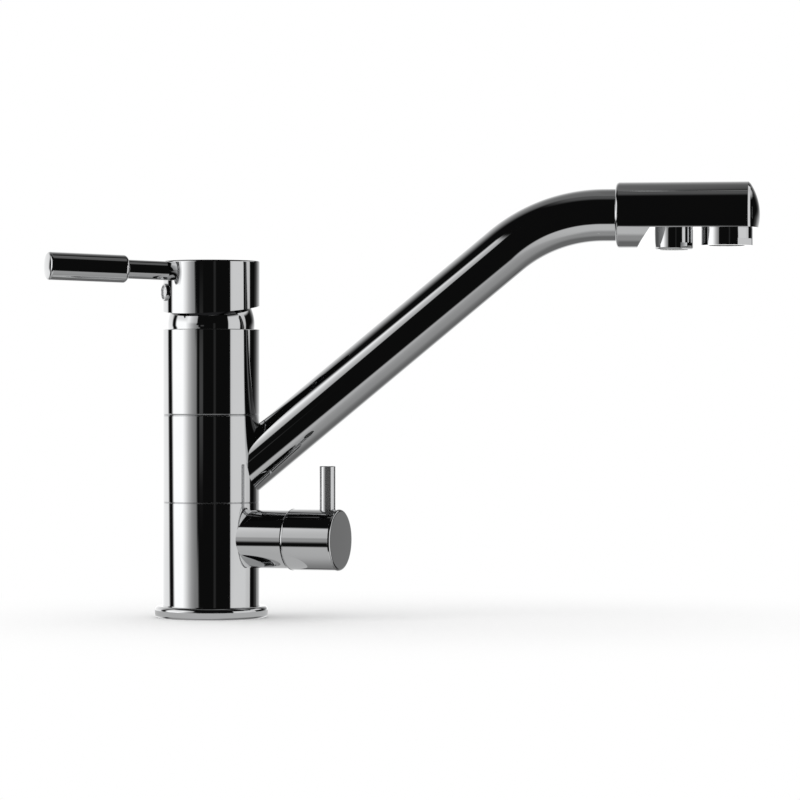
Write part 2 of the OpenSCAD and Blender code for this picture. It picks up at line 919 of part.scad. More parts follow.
// Square stem that rocks on the pivot pin, with a ball at its lower end
module lever_stem() {
    neck_radius = 2.6;
    shoulder_gap = 0.9;
    shoulder = z_post_top - z_pivot + shoulder_gap;
    color(steel)
        on_pivot()
            difference() {
                union() {
                    translate([-stem_w / 2, -stem_w / 2, shoulder])
                        cube([stem_w, stem_w, stem_top - shoulder]);
                    rod(neck_radius, -ball_arm, shoulder + over);
                    translate([0, 0, -ball_arm])
                        sphere(r = ball_r);
                }
                rotate([90, 0, 0])
                    rod(pivot_r + run_fit, -stem_w, stem_w);
            }
}

// Handle cap: slanted skirt, rocking hollow, boss for the stem and a rib for the set screw
module handle_cap() {
    span = 4 * cap_r;
    socket_w = stem_w + 2 * seat_fit;
    color(chrome)
        difference() {
            union() {
                difference() {
                    on_pivot()
                        translate([0, 0, cap_skirt - over])
                            round_top_disc(cap_r, cap_top - cap_skirt + over, cap_round);
                    translate([0, 0, z_pivot])
                        sphere(r = cap_bore_r);
                    on_pivot()
                        rotate(cap_slant_turn)
                            translate([cap_r, 0, cap_skirt])
                                rotate([0, cap_slant, 0])
                                    translate([-span, -span / 2, -span])
                                        cube([span + over, span, span]);
                }
                on_pivot()
                    rod(boss_r, boss_low, boss_high);
                on_index()
                    rod(rib_r, -cap_r + screw_r, -index_depth);
            }
            on_pivot()
                translate([-socket_w / 2, -socket_w / 2, boss_low - over])
                    cube([socket_w, socket_w, stem_top - boss_low + over + face_gap]);
            on_index()
                rod(screw_r + seat_fit, -cap_r + screw_r, 0);
            on_index()
                rod(index_r + seat_fit, -index_depth, over);
            on_lever()
                rod(tail_r + seat_fit, -tail_l - face_gap, over);
        }
}

module handle_set_screw() {
    color(steel)
        on_index()
            translate([0, 0, -cap_r + stem_w / 2 + face_gap])
                set_screw(cap_r - stem_w / 2 - index_depth - 4);
}

// Slightly domed plug over the set screw's hole
module index_plug() {
    face_r = 12;
    proud = 0.5;
    color(grey_plastic)
        on_index()
            intersection() {
                rod(index_r, -index_depth + face_gap, proud + over);
                translate([0, 0, proud - face_r])
                    sphere(r = face_r);
            }
}

// Lever rod, coped to the cap's wall, with a threaded tail
module lever_rod() {
    color(chrome)
        difference() {
            union() {
                on_lever()
                    rod(rod_r, -rod_r, rod_free + rod_in_grip);
                on_lever()
                    rod(tail_r, -tail_l, over);
            }
            difference() {
                rod(cap_r + face_gap, z_pivot, z_pivot + 2 * cap_top);
                on_lever()
                    rod(tail_r, -2 * tail_l, tail_l);
            }
        }
}

// Turned grip over the rod's end, with both edges chamfered
module lever_grip() {
    color(chrome)
        on_lever()
            translate([0, 0, rod_free])
                rotate_extrude()
                    polygon([
                        [0, rod_in_grip + face_gap],
                        [rod_r + seat_fit, rod_in_grip + face_gap],
                        [rod_r + seat_fit, 0],
                        [grip_r - grip_chamfer, 0],
                        [grip_r, grip_chamfer],
                        [grip_r, grip_l - grip_chamfer / 2],
                        [grip_r - grip_chamfer / 2, grip_l],
                        [0, grip_l]
                    ]);
}

// Turning collar that carries the spout, with a way for each water
module spout_collar() {
    side_turn = 14;
    side_drop = 1.6;
    port_r = 2.8;
    side_port_r = 2;
    color(chrome)
        difference() {
            tube(body_r, collar_bore_r, z_collar, z_collar_top);
            on_slope()
                rod(line_r + seat_fit, -body_r / 2, body_r / 2);
            for (side = [-1, 0, 1])
                rotate(spout_turn + side * side_turn)
                    translate([collar_bore_r - over, 0, z_mixed - abs(side) * side_drop])
                        rotate([0, 90, 0])
                            cylinder(r = side == 0 ? port_r : side_port_r, h = body_r - neck_r + 2 * over);
        }
}

// Bent tube, mitred to the collar's wall
module spout_tube() {
    color(chrome)
        difference() {
            spout_pipe(tube_r, tube_bore_r, body_r * 0.8, x_head + socket_l - face_gap);
            rod(body_r + face_gap, z_collar - tube_d, z_collar_top + tube_d);
        }
}

// Line that keeps the filtered water apart, from the collar's bore to the boss over its nozzle
module filter_line() {
    color(white_plastic)
        difference() {
            spout_pipe(line_r, line_r - line_wall, body_r / 2, x_nozzle - 2);
            rod(collar_bore_r + face_gap, z_collar, z_collar_top);
        }
}

// Upright children at an outlet of the head
module at_outlet(x) {
    rotate(spout_turn)
        translate([x, 0, 0])
            children();
}

// Round hollow of the head above its floor
module head_hollow(hollow_r, low, high, floor_level) {
    intersection() {
        on_head()
            rod(hollow_r, low, high);
        rotate(spout_turn)
            translate([x_head, -head_d, floor_level])
                cube([2 * head_l, 2 * head_d, head_d]);
    }
}

// What is cut away below the chin's slope and the flat underside
module under_head() {
    low = spout_h - head_r - over;
    slope_run = chin_slope / (head_r - flat_drop);
    far = x_head_end + head_d;
    rotate(spout_turn)
        translate([0, head_d, 0])
            rotate([90, 0, 0])
                linear_extrude(2 * head_d)
                    polygon([
                        [x_head + chin_l - slope_run * over, low],
                        [x_head + chin_l + chin_slope, z_flat],
                        [far, z_flat],
                        [far, low]
                    ]);
}

// Spout head: tube socket, water chamber, filtered water's boss and two threaded outlets
module spout_head() {
    boss_wall = 2.4;
    chamber_start = socket_l + way_l;
    color(chrome)
        difference() {
            union() {
                difference() {
                    on_head() {
                        translate([0, 0, head_l - head_edge])
                            rotate([180, 0, 0])
                                round_top_disc(head_r, head_l - head_edge, head_round);
                        translate([0, 0, head_l - head_edge])
                            cylinder(r1 = head_r, r2 = dome_edge_r, h = head_edge);
                    }
                    under_head();
                    on_head()
                        rod(tube_r + seat_fit, -over, socket_l);
                    on_head()
                        rod(tube_bore_r, socket_l - over, chamber_start + over);
                    head_hollow(head_chamber_r, chamber_start, head_l + over, z_floor_top);
                }
                at_outlet(x_nozzle)
                    rod(line_r + boss_wall, z_floor_top - over, spout_h + line_r + boss_wall);
            }
            on_head()
                rod(line_r + seat_fit, nozzle_at - line_d - boss_wall, nozzle_at - 2 + face_gap);
            on_head()
                rod(line_r - line_wall, nozzle_at - 3, nozzle_at);
            at_outlet(x_nozzle)
                rod(line_r - line_wall, z_flat, spout_h + line_r);
            at_outlet(x_nozzle)
                rod(nozzle_spigot_r, z_flat - over, z_ledge);
            at_outlet(x_aerator)
                rod(aerator_spigot_r, z_flat - over, z_ledge);
            at_outlet(x_aerator)
                rod(aerator_spigot_r - 2, z_flat - over, z_floor_top + over);
        }
}

// Domed end cap with a plug that closes the head's chamber
module head_end_cap() {
    color(chrome)
        difference() {
            union() {
                head_hollow(head_chamber_r - seat_fit, head_l - plug_l, head_l + over,
                    z_floor_top + seat_fit);
                on_head()
                    intersection() {
                        translate([0, 0, head_l + dome_h - end_sphere_r])
                            sphere(r = end_sphere_r);
                        rod(head_r, head_l + face_gap, head_l + 2 * dome_h);
                    }
            }
            under_head();
        }
}

// Two parallel spanner flats cut into the lower end of an outlet
module spanner_flats(outlet_r, low) {
    for (turn = [0, 180])
        rotate(spanner_turn + turn)
            translate([-outlet_r, outlet_r - spanner_cut, low - over])
                cube([2 * outlet_r, spanner_cut + over, spanner_h + over]);
}

// Screw-in housing with a lip that carries the aerator insert
module aerator_housing() {
    lip_h = 1.3;
    low = z_flat - aerator_l;
    color(chrome)
        at_outlet(x_aerator)
            difference() {
                union() {
                    rod(aerator_r, low, z_flat - face_gap);
                    rod(aerator_spigot_r - seat_fit, z_flat - over, z_spigot);
                }
                rod(aerator_spigot_r - 1, low + lip_h, z_spigot + over);
                rod(aerator_spigot_r - 2, low - over, z_spigot);
                spanner_flats(aerator_r, low);
            }
}

// Holes in rings around a centre hole
module hole_rings(rings, pitch, hole_d, low, high) {
    rod(hole_d / 2, low, high);
    for (ring = [1 : rings])
        for (step = [1 : 6 * ring])
            around(step * 60 / ring, ring * pitch)
                rod(hole_d / 2, low, high);
}

// Plastic insert: a cup whose perforated floor splits the jet
module aerator_insert() {
    lip_h = 1.3;
    floor_h = 1.6;
    low = z_flat - aerator_l + lip_h + face_gap;
    insert_r = aerator_spigot_r - 1 - seat_fit;
    color(white_plastic)
        at_outlet(x_aerator)
            difference() {
                rod(insert_r, low, z_spigot);
                rod(insert_r - 1, low + floor_h, z_spigot + over);
                hole_rings(3, 2.2, 1.5, low - over, low + floor_h + over);
            }
}

module aerator_washer() {
    color(black_rubber)
        at_outlet(x_aerator)
            tube(aerator_spigot_r - seat_fit, aerator_spigot_r - 2, z_spigot + face_gap, z_ledge - face_gap);
}

// Nozzle of the filtered water, with rounded lower edge
module filter_nozzle() {
    low = z_flat - nozzle_l;
    color(chrome)
        at_outlet(x_nozzle)
            difference() {
                union() {
                    translate([0, 0, z_flat - face_gap])
                        rotate([180, 0, 0])
                            round_top_disc(nozzle_r, nozzle_l - face_gap, 1);
                    rod(nozzle_spigot_r - seat_fit, z_flat - over, z_spigot);
                }
                rod(nozzle_spigot_r - 2, low - over, z_spigot + over);
                rod(nozzle_spigot_r + 0.5, low - over, z_flat - 3);
                spanner_flats(nozzle_r, low);
            }
}

module nozzle_insert() {
    inset = 0.7;
    insert_h = 3;
    low = z_flat - nozzle_l + inset;
    color(white_plastic)
        at_outlet(x_nozzle)
            difference() {
                rod(nozzle_spigot_r + 0.5 - seat_fit, low, z_flat - 3 - face_gap);
                rod(nozzle_spigot_r - 1, low + insert_h, z_flat);
                hole_rings(2, 2.1, 1.4, low - over, low + insert_h + over);
            }
}

module nozzle_washer() {
    color(black_rubber)
        at_outlet(x_nozzle)
            tube(nozzle_spigot_r - seat_fit, nozzle_spigot_r - 2, z_spigot + face_gap, z_ledge - face_gap);
}

base_flange();
base_seal();
body_casting();
upper_sleeve();
lower_slip_ring();
upper_slip_ring();
swivel_o_rings();
cartridge_housing();
cartridge_base();
cartridge_seals();
fixed_disc();
cartridge_nut();
dome_cover();
valve_bonnet();
bonnet_o_ring();
valve_seat_seal();
valve_seat_disc();
cartridge_rotor();
pivot_pin();
moving_disc();
disc_carrier();
lever_stem();
handle_cap();
handle_set_screw();
index_plug();
lever_rod();
lever_grip();
valve_spindle();
spindle_o_ring();
valve_rotor_disc();
filter_knob();
filter_pin();
knob_set_screw();
spout_collar();
spout_tube();
filter_line();
spout_head();
head_end_cap();
aerator_housing();
aerator_insert();
aerator_washer();
filter_nozzle();
nozzle_insert();
nozzle_washer();
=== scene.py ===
"""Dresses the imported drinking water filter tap: smooth pieces, threads, finishes, studio and camera."""

import json
import math

import bpy
import numpy as np
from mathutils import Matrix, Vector


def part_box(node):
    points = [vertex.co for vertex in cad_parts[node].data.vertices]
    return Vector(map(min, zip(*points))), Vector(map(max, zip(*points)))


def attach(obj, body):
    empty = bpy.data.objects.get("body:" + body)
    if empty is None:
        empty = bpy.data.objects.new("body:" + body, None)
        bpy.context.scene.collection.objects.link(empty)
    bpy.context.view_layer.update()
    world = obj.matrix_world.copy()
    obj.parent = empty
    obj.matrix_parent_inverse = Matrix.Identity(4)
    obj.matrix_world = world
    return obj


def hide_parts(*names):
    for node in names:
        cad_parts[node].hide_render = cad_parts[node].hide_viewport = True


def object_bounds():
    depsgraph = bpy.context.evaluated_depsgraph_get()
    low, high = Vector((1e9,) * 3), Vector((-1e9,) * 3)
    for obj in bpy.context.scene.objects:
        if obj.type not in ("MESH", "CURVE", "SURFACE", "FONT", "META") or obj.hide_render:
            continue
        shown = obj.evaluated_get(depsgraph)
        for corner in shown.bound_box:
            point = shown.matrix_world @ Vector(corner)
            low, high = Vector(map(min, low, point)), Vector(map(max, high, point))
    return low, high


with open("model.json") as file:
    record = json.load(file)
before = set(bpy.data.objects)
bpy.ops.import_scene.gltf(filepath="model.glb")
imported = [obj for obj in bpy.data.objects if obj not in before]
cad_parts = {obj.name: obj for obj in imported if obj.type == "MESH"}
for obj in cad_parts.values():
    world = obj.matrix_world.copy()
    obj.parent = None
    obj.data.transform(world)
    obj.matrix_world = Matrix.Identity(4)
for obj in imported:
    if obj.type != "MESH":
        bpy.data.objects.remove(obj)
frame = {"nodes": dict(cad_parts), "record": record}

CAD_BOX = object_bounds()
JOINTS = {joint["name"]: joint for joint in frame["record"]["behaviour"]["joints"]}
MOUNTS = {mount["name"]: mount for mount in frame["record"]["mounts"]}
UP = np.array([0.0, 0.0, 1.0])
MM = 0.001
# Rounding of hidden corners, and the step that keeps edges apart
CREASE = 0.1 * MM
# Gap between surfaces that would otherwise lie in one another
SEAM = 0.02 * MM
# Points nearer than this meet
SAME = 1e-9
# Range that most of a noise lies in
NOISE_LOW, NOISE_HIGH = 0.3, 0.7
# Half the width of the light tent's dark gap, in degrees
GAP_HALF = 9.0
# New pieces, each with the name of its finish
PIECES = []

bl_info = {
    "name": "Drinking Water Filter Tap",
    "version": (1, 0, 0),
    "blender": (4, 5, 0),
    "location": "View3D > Sidebar > Tap",
    "description": "Chromed pieces, threads, finishes and studio for a three-way kitchen tap",
    "category": "Object",
}


# Sizes, colours and studio settings


def length(name, description, millimetres):
    """A length property in metres, with its default in millimetres."""
    return bpy.props.FloatProperty(
        name=name, description=description, subtype="DISTANCE", unit="LENGTH", min=0.0,
        precision=5, default=millimetres * MM)


def angle(name, description, degrees):
    """An angle property with its default in degrees."""
    return bpy.props.FloatProperty(
        name=name, description=description, subtype="ANGLE", unit="ROTATION", default=math.radians(degrees))


def tone(name, description, colour):
    """A colour property in linear values."""
    return bpy.props.FloatVectorProperty(
        name=name, description=description, subtype="COLOR", size=3, min=0.0, max=1.0, default=colour)


def share(name, description, part):
    """A share between 0 and 1."""
    return bpy.props.FloatProperty(
        name=name, description=description, subtype="FACTOR", min=0.0, max=1.0, default=part)


def place(name, description, metres):
    """A place in metres."""
    return bpy.props.FloatVectorProperty(
        name=name, description=description, subtype="TRANSLATION", unit="LENGTH", size=3, default=metres)


class TapSizes(bpy.types.PropertyGroup):
    """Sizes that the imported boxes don't give"""

    edge: length("Edge", "Rounding of a turned piece's edges", 0.35)
    rim: length("Flange rim", "Rounding of the flange's upper and lower edge", 2.0)
    neck: length("Neck", "Radius of the neck inside the sleeve", 19.53)
    spigot: length("Spigot", "Radius of the spigot inside the flange", 18.03)
    seal_width: length("Seal width", "Width of the groove for the flange's seal", 3.0)
    tube: length("Tube", "Outside radius of the spout tube", 12.0)
    tube_wall: length("Tube wall", "Wall of the spout tube", 1.2)
    bend: length("Bend", "Radius of the bend on the tube's centreline", 70.0)
    root: length("Spout root", "Height of the spout's axis on the collar's wall", 74.4)
    level: length("Level run", "Height of the spout's level run", 185.2)
    rise: angle("Rise", "Angle that the spout rises at", 39.6)
    spout_turn: angle("Spout turn", "Rest direction of the spout from the filter valve", 14.0)
    rod: length("Lever rod", "Radius of the rod inside the grip", 4.43)
    rod_height: length("Rod height", "Height of the lever rod above the pivot, at the cap's wall", 25.3)
    rod_rise: angle("Rod rise", "Upward tilt of the lever", 1.5)
    rod_free: length("Free rod", "Rod that shows between the cap and the grip", 19.0)
    grip: length("Grip", "Radius of the lever grip", 6.45)
    grip_length: length("Grip length", "Length of the lever grip", 38.5)
    grip_edge: length("Grip edge", "Rounding of the grip's front edge", 1.8)
    grip_end: length("Grip end", "Solid end of the grip beyond the rod", 10.0)
    grip_dome: length("Grip dome", "Radius of the grip's slightly domed end", 26.0)
    dome_edge: length("Dome edge", "Rounding between the grip's side and its domed end", 1.2)
    pin_edge: length("Pin edge", "Rounding of the filter pin's top", 0.56)
    bead: length("Bead", "Rounding of the filter knob's end edges", 1.1)
    bead_rise: length("Bead rise", "Height of the rounded ends above the knob's wall and face", 0.12)
    index: length("Index", "Radius of the index plug", 4.0)
    index_height: length("Index height", "Height of the index plug above the pivot", 15.4)
    index_depth: length("Index depth", "Depth of the index plug in the cap", 2.98)
    bezel: length("Bezel", "Width of the index plug's chromed ring", 1.0)
    bezel_edge: length("Bezel edge", "Rounding of the ring's front edges", 0.45)
    thread_pitch: length("Thread pitch", "Rise of the threads in one turn", 1.25)
    thread_depth: length("Thread depth", "Height of the threads' ridges", 0.5)
    thread_wall: length("Thread wall", "Wall of the sleeve under the threads' ridges", 0.05)


class TapFinish(bpy.types.PropertyGroup):
    """Colours and blur of the finishes"""

    chrome: tone("Chrome", "Tone of the polished chrome plating", (0.58, 0.585, 0.59))
    brass: tone("Brass", "Tone of the turned brass inside", (0.72, 0.52, 0.24))
    steel: tone("Steel", "Tone of the steel screws and pins", (0.52, 0.53, 0.55))
    rubber: tone("Rubber", "Tone of the seals", (0.022, 0.022, 0.024))
    slip: tone("Slip rings", "Tone of the plated slip rings in the seams", (0.36, 0.365, 0.37))
    ceramic: tone("Ceramic", "Tone of the lapped discs", (0.82, 0.8, 0.75))
    white: tone("White plastic", "Tone of the white mouldings", (0.74, 0.74, 0.71))
    grey: tone("Grey plastic", "Tone of the grey mouldings", (0.2, 0.21, 0.22))
    index: tone("Index", "Tone of the index plug's button", (0.78, 0.79, 0.8))
    gloss: share("Chrome blur", "Blur of the chrome's reflections", 0.03)
    cast_gloss: share("Casting blur", "Blur of the chromed casting's reflections", 0.036)
    pin_gloss: share("Pin blur", "Blur of the filter pin's reflections", 0.06)
    pin_metal: share("Pin plating", "Metal's share in the filter pin's look, beside a matt haze", 0.88)


class TapStudio(bpy.types.PropertyGroup):
    """Camera, floor and light"""

    camera_turn: angle("Camera turn", "Turn of the camera about the tap from the front", 21.0)
    camera_distance: length("Camera distance", "Distance of the camera from the tap's axis", 1715.0)
    camera_side: length("Camera side step", "Step of the camera to the right of the tap's axis", 87.4)
    camera_height: length("Camera height", "Height of the level camera above the worktop", 100.7)
    lens: bpy.props.FloatProperty(
        name="Lens", description="Focal length on a 36 mm sensor", unit="CAMERA", default=166.5)
    floor: length("Floor", "Radius of the round pale floor", 300.0)
    floor_tone: tone("Floor tone", "Tone of the pale floor", (0.95, 0.95, 0.95))
    floor_fade: share("Floor fade", "Share of the floor's radius at which it is half white", 0.66)
    floor_soft: share("Floor softness", "Half the width of the floor's change to white", 0.3)
    ring: length("Foot ring", "Radius of the white wedge that the flange mirrors", 40.0)
    ring_height: length("Foot ring height", "Height of the white wedge at its outside", 2.4)
    ring_lift: length("Foot ring lift", "Height of the white wedge above the worktop", 0.05)
    ring_level: bpy.props.FloatProperty(
        name="Foot ring level", description="Brightness of the white wedge", min=0.0, default=0.64)
    tent: length("Light tent", "Radius of the light tent", 4000.0)
    surroundings: bpy.props.FloatProperty(
        name="Surroundings", description="Even light on matt surfaces", min=0.0, default=1.0)
    lamp: bpy.props.FloatProperty(
        name="Lamp", description="Power of the soft lamp", unit="POWER", min=0.0, default=1.6)
    lamp_width: length("Lamp width", "Diameter of the soft lamp", 900.0)
    lamp_place: place("Lamp place", "Where the soft lamp stands", (-0.75, -0.75, 1.05))
    lamp_aim: place("Lamp aim", "Place that the soft lamp faces", (0.08, 0.0, 0.05))


# Surfaces


def unit(vectors):
    """Vectors of the same directions and of length 1."""
    return vectors / np.linalg.norm(vectors, axis=-1, keepdims=True)


def rounded(corners, radii, closed=True, steps=9):
    """Section outline with rounded corners, as points and outward normals.

    The corners run anticlockwise, so that outward lies on the right. Both edges at a corner are cut back by
    radius * tan(half the turn), and the arc between the cuts turns its normal evenly from one edge's to the
    other's. An open outline keeps its first and last point as they are.
    """
    corner = np.array(corners, float)
    radius = np.broadcast_to(np.array(radii, float), len(corner))[:, None, None]
    edge = unit(np.roll(corner, -1, 0) - corner)
    before = np.roll(edge, 1, 0)
    if not closed:
        before[0] = edge[0]
        edge[-1] = before[-1]
    turn = np.arctan2(before[:, 0] * edge[:, 1] - before[:, 1] * edge[:, 0], (before * edge).sum(1))
    inwards = np.where(turn < 0.0, -1.0, 1.0)[:, None, None]
    heading = np.arctan2(before[:, 1], before[:, 0])[:, None] + turn[:, None] * np.linspace(0.0, 1.0, steps)
    normal = np.stack([np.sin(heading), -np.cos(heading)], -1)
    cut = radius * np.tan(np.abs(turn) / 2)[:, None, None]
    start = corner[:, None] - before[:, None] * cut
    point = start + inwards * radius * (normal - normal[:, :1])
    point, normal = point.reshape(-1, 2), normal.reshape(-1, 2)
    if closed:
        return point, normal
    inner = slice(steps - 1, len(point) - steps + 1)
    return point[inner], normal[inner]


def surface(name, points, normals, closed_rows=False):
    """Mesh of a grid of points, shape (rows, columns, 3), whose columns run round and join up.

    Neighbours are joined by quads. A row whose points all meet becomes one vertex with a fan of triangles.
    The given normals shade it.
    """
    rows, columns = points.shape[:2]
    index = np.arange(rows * columns).reshape(rows, columns)
    pole = np.ptp(points, axis=1).max(1) < SAME
    index[pole] = index[pole, :1]
    row = np.arange(rows if closed_rows else rows - 1)
    i, j = np.meshgrid(row, np.arange(columns), indexing="ij")
    i2, j2 = (i + 1) % rows, (j + 1) % columns
    quads = np.stack([index[i, j], index[i, j2], index[i2, j2], index[i2, j]], -1).reshape(-1, 4)
    used, packed = np.unique(quads, return_inverse=True)
    quads = packed.reshape(-1, 4)
    first = quads[:, 0] == quads[:, 1]
    last = quads[:, 2] == quads[:, 3]
    faces = [*quads[~first & ~last].tolist(), *quads[first & ~last][:, [0, 2, 3]].tolist(),
             *quads[last & ~first][:, [0, 1, 2]].tolist()]
    mesh = bpy.data.meshes.new(name)
    mesh.from_pydata(points.reshape(-1, 3)[used].tolist(), [], faces)
    mesh.shade_smooth()
    mesh.normals_split_custom_set_from_vertices(normals.reshape(-1, 3)[used].tolist())
    return mesh


def revolved(name, outline, origin=(0.0, 0.0, 0.0), axis=(0.0, 0.0, 1.0), closed=True, sides=160):
    """Surface of revolution: every outline point (radius, height) goes round the axis through the origin."""
    up = unit(np.array(axis, float))
    along_y = abs(up[1]) > 0.9
    across = unit(np.cross(up, [1.0, 0.0, 0.0] if along_y else [0.0, 1.0, 0.0]))
    turn = np.linspace(0.0, 2.0 * np.pi, sides, endpoint=False)[:, None]
    spoke = np.cos(turn) * across + np.sin(turn) * np.cross(up, across)
    point, normal = outline
    points = np.array(origin) + point[:, None, :1] * spoke + point[:, None, 1:] * up
    normals = normal[:, None, :1] * spoke + normal[:, None, 1:] * up
    return surface(name, points, normals, closed)


def size(node):
    """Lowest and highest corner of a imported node, as arrays."""
    low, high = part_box(node)
    return np.array(low), np.array(high)


def put(name, mesh):
    """Links a mesh to the scene under a name."""
    piece = bpy.data.objects.new(name, mesh)
    bpy.context.scene.collection.objects.link(piece)
    return piece


def fit(mesh, body, slot, *nodes, look=None):
    """Adds a piece that rides on a body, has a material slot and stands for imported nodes.

    It takes the slot's finish, or the one that look names.
    """
    piece = put(mesh.name, mesh)
    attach(piece, body)
    if nodes:
        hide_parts(*nodes)
    PIECES.append((piece, look or slot))


# Pieces


class TAP_OT_flange(bpy.types.Operator):
    """Turns the flange: a section with a bull-nosed rim and a seal's groove, round the tap's axis"""

    bl_idname = "tap.flange"
    bl_label = "Flange"

    def execute(self, context):
        sizes = context.scene.tap_sizes
        low, high = size("base_flange")
        rim, foot, top = high[0], low[2], high[2]
        groove, _, groove_top = size("base_seal")[1]
        inner = groove - sizes.seal_width
        corners = [
            (sizes.spigot, foot), (inner, foot), (inner, groove_top), (groove, groove_top), (groove, foot),
            (rim, foot), (rim, top), (sizes.spigot, top)]
        radii = [CREASE] * 5 + [sizes.rim] * 2 + [CREASE]
        fit(revolved("flange_ring", rounded(corners, radii)), "body", "chrome", "base_flange")
        return {"FINISHED"}


class TAP_OT_sleeve(bpy.types.Operator):
    """Turns the upper sleeve: a ring section with rounded edges, carried round the tap's axis"""

    bl_idname = "tap.sleeve"
    bl_label = "Upper sleeve"

    def execute(self, context):
        sizes = context.scene.tap_sizes
        low, high = size("upper_sleeve")
        corners = [(sizes.neck, low[2]), (high[0], low[2]), (high[0], high[2]), (sizes.neck, high[2])]
        fit(revolved("sleeve_shell", rounded(corners, sizes.edge)), "body", "chrome", "upper_sleeve")
        return {"FINISHED"}


class TAP_OT_tube(bpy.types.Operator):
    """Bends the spout tube: a ring carried along a rising line, an arc and a level line"""

    bl_idname = "tap.tube"
    bl_label = "Spout tube"

    def execute(self, context):
        sizes = context.scene.tap_sizes
        outer = self.wall(sizes, sizes.tube)
        bore = self.wall(sizes, sizes.tube - sizes.tube_wall)
        points = np.concatenate([outer[0], bore[0][::-1]])
        normals = np.concatenate([outer[1], -bore[1][::-1]])
        fit(surface("tube_shell", points, normals, closed_rows=True), "spout", "chrome", "spout_tube")
        return {"FINISHED"}

    def wall(self, sizes, radius, sides=160, straight=24, curved=56):
        """One wall of the tube, as points and outward normals.

        Every line along the slope starts where it meets the collar's cylinder, which is the root of
        |start + u * rise|^2 = collar^2 in plan. The rings of the bend turn evenly about the bend's centre.
        """
        collar = size("spout_collar")[1][0]
        far = size("spout_tube")[1]
        along = np.array([math.cos(sizes.spout_turn), math.sin(sizes.spout_turn), 0.0])
        side = np.array([-along[1], along[0], 0.0])
        end = (far[0] - sizes.tube * math.sin(sizes.spout_turn)) / math.cos(sizes.spout_turn)
        run = (sizes.level - sizes.root) / math.tan(sizes.rise)
        tangent = sizes.bend * math.tan(sizes.rise / 2)
        bend_end = collar + run + tangent
        tilt = np.concatenate([np.full(straight, sizes.rise), np.linspace(sizes.rise, 0.0, curved), [0.0]])
        x = bend_end - sizes.bend * np.sin(tilt)
        z = sizes.level - sizes.bend * (1.0 - np.cos(tilt))
        x[-1] = end
        turn = np.linspace(0.0, 2.0 * np.pi, sides, endpoint=False)[None, :, None]
        over = np.cos(tilt)[:, None] * UP - np.sin(tilt)[:, None] * along
        normals = np.cos(turn) * over[:, None] - np.sin(turn) * side
        points = (x[:, None] * along + z[:, None] * UP)[:, None] + radius * normals
        rise = math.cos(sizes.rise) * along + math.sin(sizes.rise) * UP
        first = points[0]
        square = rise[0] ** 2 + rise[1] ** 2
        half = (first[:, :2] * rise[:2]).sum(1)
        rest = (first[:, :2] ** 2).sum(1) - (collar + SEAM) ** 2
        reach = (-half + np.sqrt(half ** 2 - square * rest)) / square
        part = np.linspace(1.0, 0.0, straight, endpoint=False)[:, None, None]
        points[:straight] += part * reach[:, None] * rise
        return points, normals


def cap_wall(height):
    """Point on the cap's wall under the lever, at a height above the pivot, and the lever's direction."""
    lever = np.array(JOINTS["disc_slide"]["axis"])
    wall = size("upper_sleeve")[1][0]
    return np.array(JOINTS["handle_lift"]["pos_m"]) + wall * lever + height * UP, lever


class TAP_OT_grip(bpy.types.Operator):
    """Turns the lever grip: a bored section with a rounded edge and a domed end, round the lever's axis"""

    bl_idname = "tap.grip"
    bl_label = "Lever grip"

    def execute(self, context):
        sizes = context.scene.tap_sizes
        depth = sizes.grip_length - sizes.grip_end
        end, end_normal = self.end(sizes)
        corners = [(0.0, depth), (sizes.rod, depth), (sizes.rod, 0.0), (sizes.grip, 0.0), end[0]]
        bored, bored_normal = rounded(corners, [0.0, CREASE, CREASE, sizes.grip_edge, 0.0], closed=False)
        outline = np.concatenate([bored, end[1:]]), np.concatenate([bored_normal, end_normal[1:]])
        origin, lever = cap_wall(sizes.rod_height)
        axis = math.cos(sizes.rod_rise) * lever + math.sin(sizes.rod_rise) * UP
        front = origin + sizes.rod_free * axis
        fit(revolved("grip_shell", outline, front, axis, closed=False), "handle", "chrome", "lever_grip")
        return {"FINISHED"}

    def end(self, sizes, steps=17):
        """The grip's domed end, as points and normals: the edge's arc runs into the dome's larger arc.

        The edge's centre lies on a circle about the dome's centre, of the difference of the two radii.
        """
        across, reach = sizes.grip - sizes.dome_edge, sizes.grip_dome - sizes.dome_edge
        dome_centre = sizes.grip_length - sizes.grip_dome
        meet = math.asin(across / reach)
        edge = np.linspace(math.pi / 2, meet, steps)[:, None]
        dome = np.linspace(meet, 0.0, steps)[1:, None]
        edge_normal = np.hstack([np.sin(edge), np.cos(edge)])
        dome_normal = np.hstack([np.sin(dome), np.cos(dome)])
        edge_centre = np.array([across, dome_centre + reach * math.cos(meet)])
        points = np.concatenate([
            edge_centre + sizes.dome_edge * edge_normal,
            np.array([0.0, dome_centre]) + sizes.grip_dome * dome_normal])
        return points, np.concatenate([edge_normal, dome_normal])


class TAP_OT_pin(bpy.types.Operator):
    """Turns the filter knob's pin: a rod section with a rounded top, carried round the pin's axis"""

    bl_idname = "tap.pin"
    bl_label = "Filter pin"

    def execute(self, context):
        sizes = context.scene.tap_sizes
        low, high = size("filter_pin")
        radius, height = (high[0] - low[0]) / 2, high[2] - low[2]
        corners = [(0.0, 0.0), (radius, 0.0), (radius, height), (0.0, height)]
        outline = rounded(corners, [0.0, CREASE, sizes.pin_edge, 0.0], closed=False)
        foot = (*((low + high) / 2)[:2], low[2])
        fit(revolved("pin_rod", outline, foot, closed=False),
            "filter_handle", "chrome", "filter_pin", look="pin")
        return {"FINISHED"}


